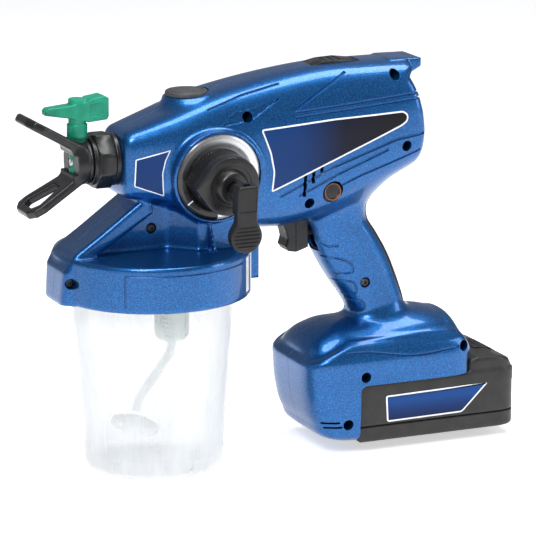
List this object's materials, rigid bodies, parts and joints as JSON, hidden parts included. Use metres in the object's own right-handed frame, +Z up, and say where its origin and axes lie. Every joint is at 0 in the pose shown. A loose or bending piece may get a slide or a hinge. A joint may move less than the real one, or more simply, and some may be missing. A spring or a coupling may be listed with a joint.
{
  "type": "airless paint sprayer",
  "caption": "Cordless hand-held airless paint sprayer: clear cup under the nose, reversible tip in a looped guard, dial with prime lever, trigger handle and slide-in battery.",
  "frame": {"origin": "centre of the cup's flat foot, on the surface that the sprayer stands on", "axes": "+X runs back from the cup to the battery, so it sprays towards -X; -Y is the operator's left, the side with the dial; +Z is up"},
  "size_m": [0.3547, 0.154, 0.2724],
  "materials": {
    "housing_blue": "metallic blue moulded plastic, glossy",
    "soft_rubber": "matt soft-touch rubber",
    "cap_rubber": "dark grey rubber",
    "black_plastic": "fine-textured black plastic",
    "trigger_rubber": "satin charcoal plastic",
    "dial_silver": "silver to black printed ring",
    "knob_black": "satin black plastic",
    "steel": "machined steel",
    "cast_alloy": "cast alloy, machined faces",
    "brass": "machined brass",
    "tip_green": "moulded green plastic",
    "cup_clear": "clear moulded plastic",
    "tube_clear": "clear flexible tube",
    "white_plastic": "white moulded plastic",
    "fitting_green": "pale green plastic",
    "pack_black": "black battery plastic",
    "cell_wrap": "heat-shrunk cells with nickel strips",
    "circuit_green": "solder-masked board",
    "lead_red": "insulated lead",
    "screw_steel": "black zinc screws"
  },
  "bodies": {
    "gun": {"left_housing": "housing_blue", "right_housing": "housing_blue", "rear_grip_pad": "soft_rubber", "top_insert": "black_plastic", "trigger_switch": "black_plastic", "pressure_dial": "dial_silver", "pump_block": "cast_alloy", "front_bearing": "steel", "rear_bearing": "steel", "piston_spring_1": "steel", "piston_spring_2": "steel", "piston_spring_3": "steel", "gear_plate": "cast_alloy", "motor_can": "steel", "motor_end_cap": "black_plastic", "outlet_tube": "steel", "nose_collar": "black_plastic", "cup_cover": "white_plastic", "inlet_fitting": "fitting_green", "suction_tube": "tube_clear", "strainer": "white_plastic", "terminal_block": "brass", "control_board": "circuit_green", "battery_lead": "lead_red", "motor_lead": "lead_red", "screw_nose": "screw_steel", "screw_rear_top": "screw_steel", "screw_rear_low": "screw_steel", "screw_trigger": "screw_steel", "screw_handle": "screw_steel", "screw_base_rear": "screw_steel", "screw_base_mid": "screw_steel", "screw_base_front": "screw_steel", "screw_spine": "screw_steel", "screw_web": "screw_steel"},
    "trigger": {"trigger": "trigger_rubber"},
    "trigger_lock": {"trigger_lock": "black_plastic"},
    "pressure_knob": {"pressure_knob": "knob_black"},
    "prime_lever": {"valve_stem": "steel", "prime_lever": "knob_black"},
    "service_cap": {"service_cap": "cap_rubber"},
    "swash_drive": {"swash_shaft": "steel", "drive_gear": "steel"},
    "rotor": {"motor_rotor": "steel"},
    "piston_1": {"piston_1": "steel"},
    "piston_2": {"piston_2": "steel"},
    "piston_3": {"piston_3": "steel"},
    "guard_nut": {"guard_nut": "black_plastic"},
    "tip_guard": {"tip_guard": "black_plastic", "tip_seal": "brass"},
    "spray_tip": {"spray_tip": "tip_green"},
    "cup": {"cup": "cup_clear", "cup_gasket": "soft_rubber"},
    "battery": {"battery_case": "pack_black", "battery_tray": "pack_black", "cell_pack": "cell_wrap", "battery_board": "circuit_green"},
    "battery_latch": {"battery_latch": "soft_rubber"}
  },
  "joints": [
    {"name": "trigger_pull", "type": "slide", "parent": "gun", "child": "trigger", "axis": [1, 0, 0], "range_m": [0, 0.006], "stiffness_N_per_m": 900, "springref_m": -0.002},
    {"name": "trigger_lock_push", "type": "slide", "parent": "gun", "child": "trigger_lock", "axis": [0, 1, 0], "range_m": [0, 0.004]},
    {"name": "pressure_knob_turn", "type": "hinge", "parent": "gun", "child": "pressure_knob", "pos_m": [0.0346, -0.034, 0.2042], "axis": [0, -0.9945, -0.1045], "range_deg": [-240, 0]},
    {"name": "prime_lever_turn", "type": "hinge", "parent": "gun", "child": "prime_lever", "pos_m": [0.0346, -0.034, 0.2042], "axis": [0, -0.9945, -0.1045], "range_deg": [-90, 0]},
    {"name": "service_cap_lift", "type": "slide", "parent": "gun", "child": "service_cap", "axis": [0, 0, 1], "range_m": [0, 0.03]},
    {"name": "swash_drive_spin", "type": "hinge", "parent": "gun", "child": "swash_drive", "pos_m": [0.082, 0, 0.2192], "axis": [1, 0, 0], "continuous": true},
    {"name": "rotor_spin", "type": "hinge", "parent": "gun", "child": "rotor", "pos_m": [0.12, 0, 0.2382], "axis": [1, 0, 0], "continuous": true},
    {"name": "piston_1_stroke", "type": "slide", "parent": "gun", "child": "piston_1", "axis": [-1, 0, 0], "range_m": [0, 0.005], "stiffness_N_per_m": 800, "springref_m": -0.003, "deforming": ["piston_spring_1"]},
    {"name": "piston_2_stroke", "type": "slide", "parent": "gun", "child": "piston_2", "axis": [-1, 0, 0], "range_m": [0, 0.005], "stiffness_N_per_m": 800, "springref_m": -0.003, "deforming": ["piston_spring_2"]},
    {"name": "piston_3_stroke", "type": "slide", "parent": "gun", "child": "piston_3", "axis": [-1, 0, 0], "range_m": [0, 0.005], "stiffness_N_per_m": 800, "springref_m": -0.003, "deforming": ["piston_spring_3"]},
    {"name": "guard_nut_turn", "type": "hinge", "parent": "gun", "child": "guard_nut", "pos_m": [-0.039, 0, 0.2155], "axis": [1, 0, 0], "continuous": true},
    {"name": "tip_guard_turn", "type": "hinge", "parent": "gun", "child": "tip_guard", "pos_m": [-0.0529, 0, 0.2155], "axis": [1, 0, 0], "range_deg": [-90, 90]},
    {"name": "spray_tip_reverse", "type": "hinge", "parent": "tip_guard", "child": "spray_tip", "pos_m": [-0.0529, 0, 0.2155], "axis": [0, 0, 1], "range_deg": [0, 180]},
    {"name": "cup_drop", "type": "slide", "parent": "gun", "child": "cup", "axis": [0, 0, -1], "range_m": [0, 0.14]},
    {"name": "battery_slide", "type": "slide", "parent": "gun", "child": "battery", "axis": [1, 0, 0], "range_m": [0, 0.12]},
    {"name": "battery_latch_press", "type": "slide", "parent": "battery", "child": "battery_latch", "axis": [0, 0, -1], "range_m": [0, 0.003], "stiffness_N_per_m": 1500, "springref_m": -0.001}
  ],
  "couplings": [
    {"joint": "rotor_spin", "follows": "swash_drive_spin", "ratio": -2.8}
  ]
}
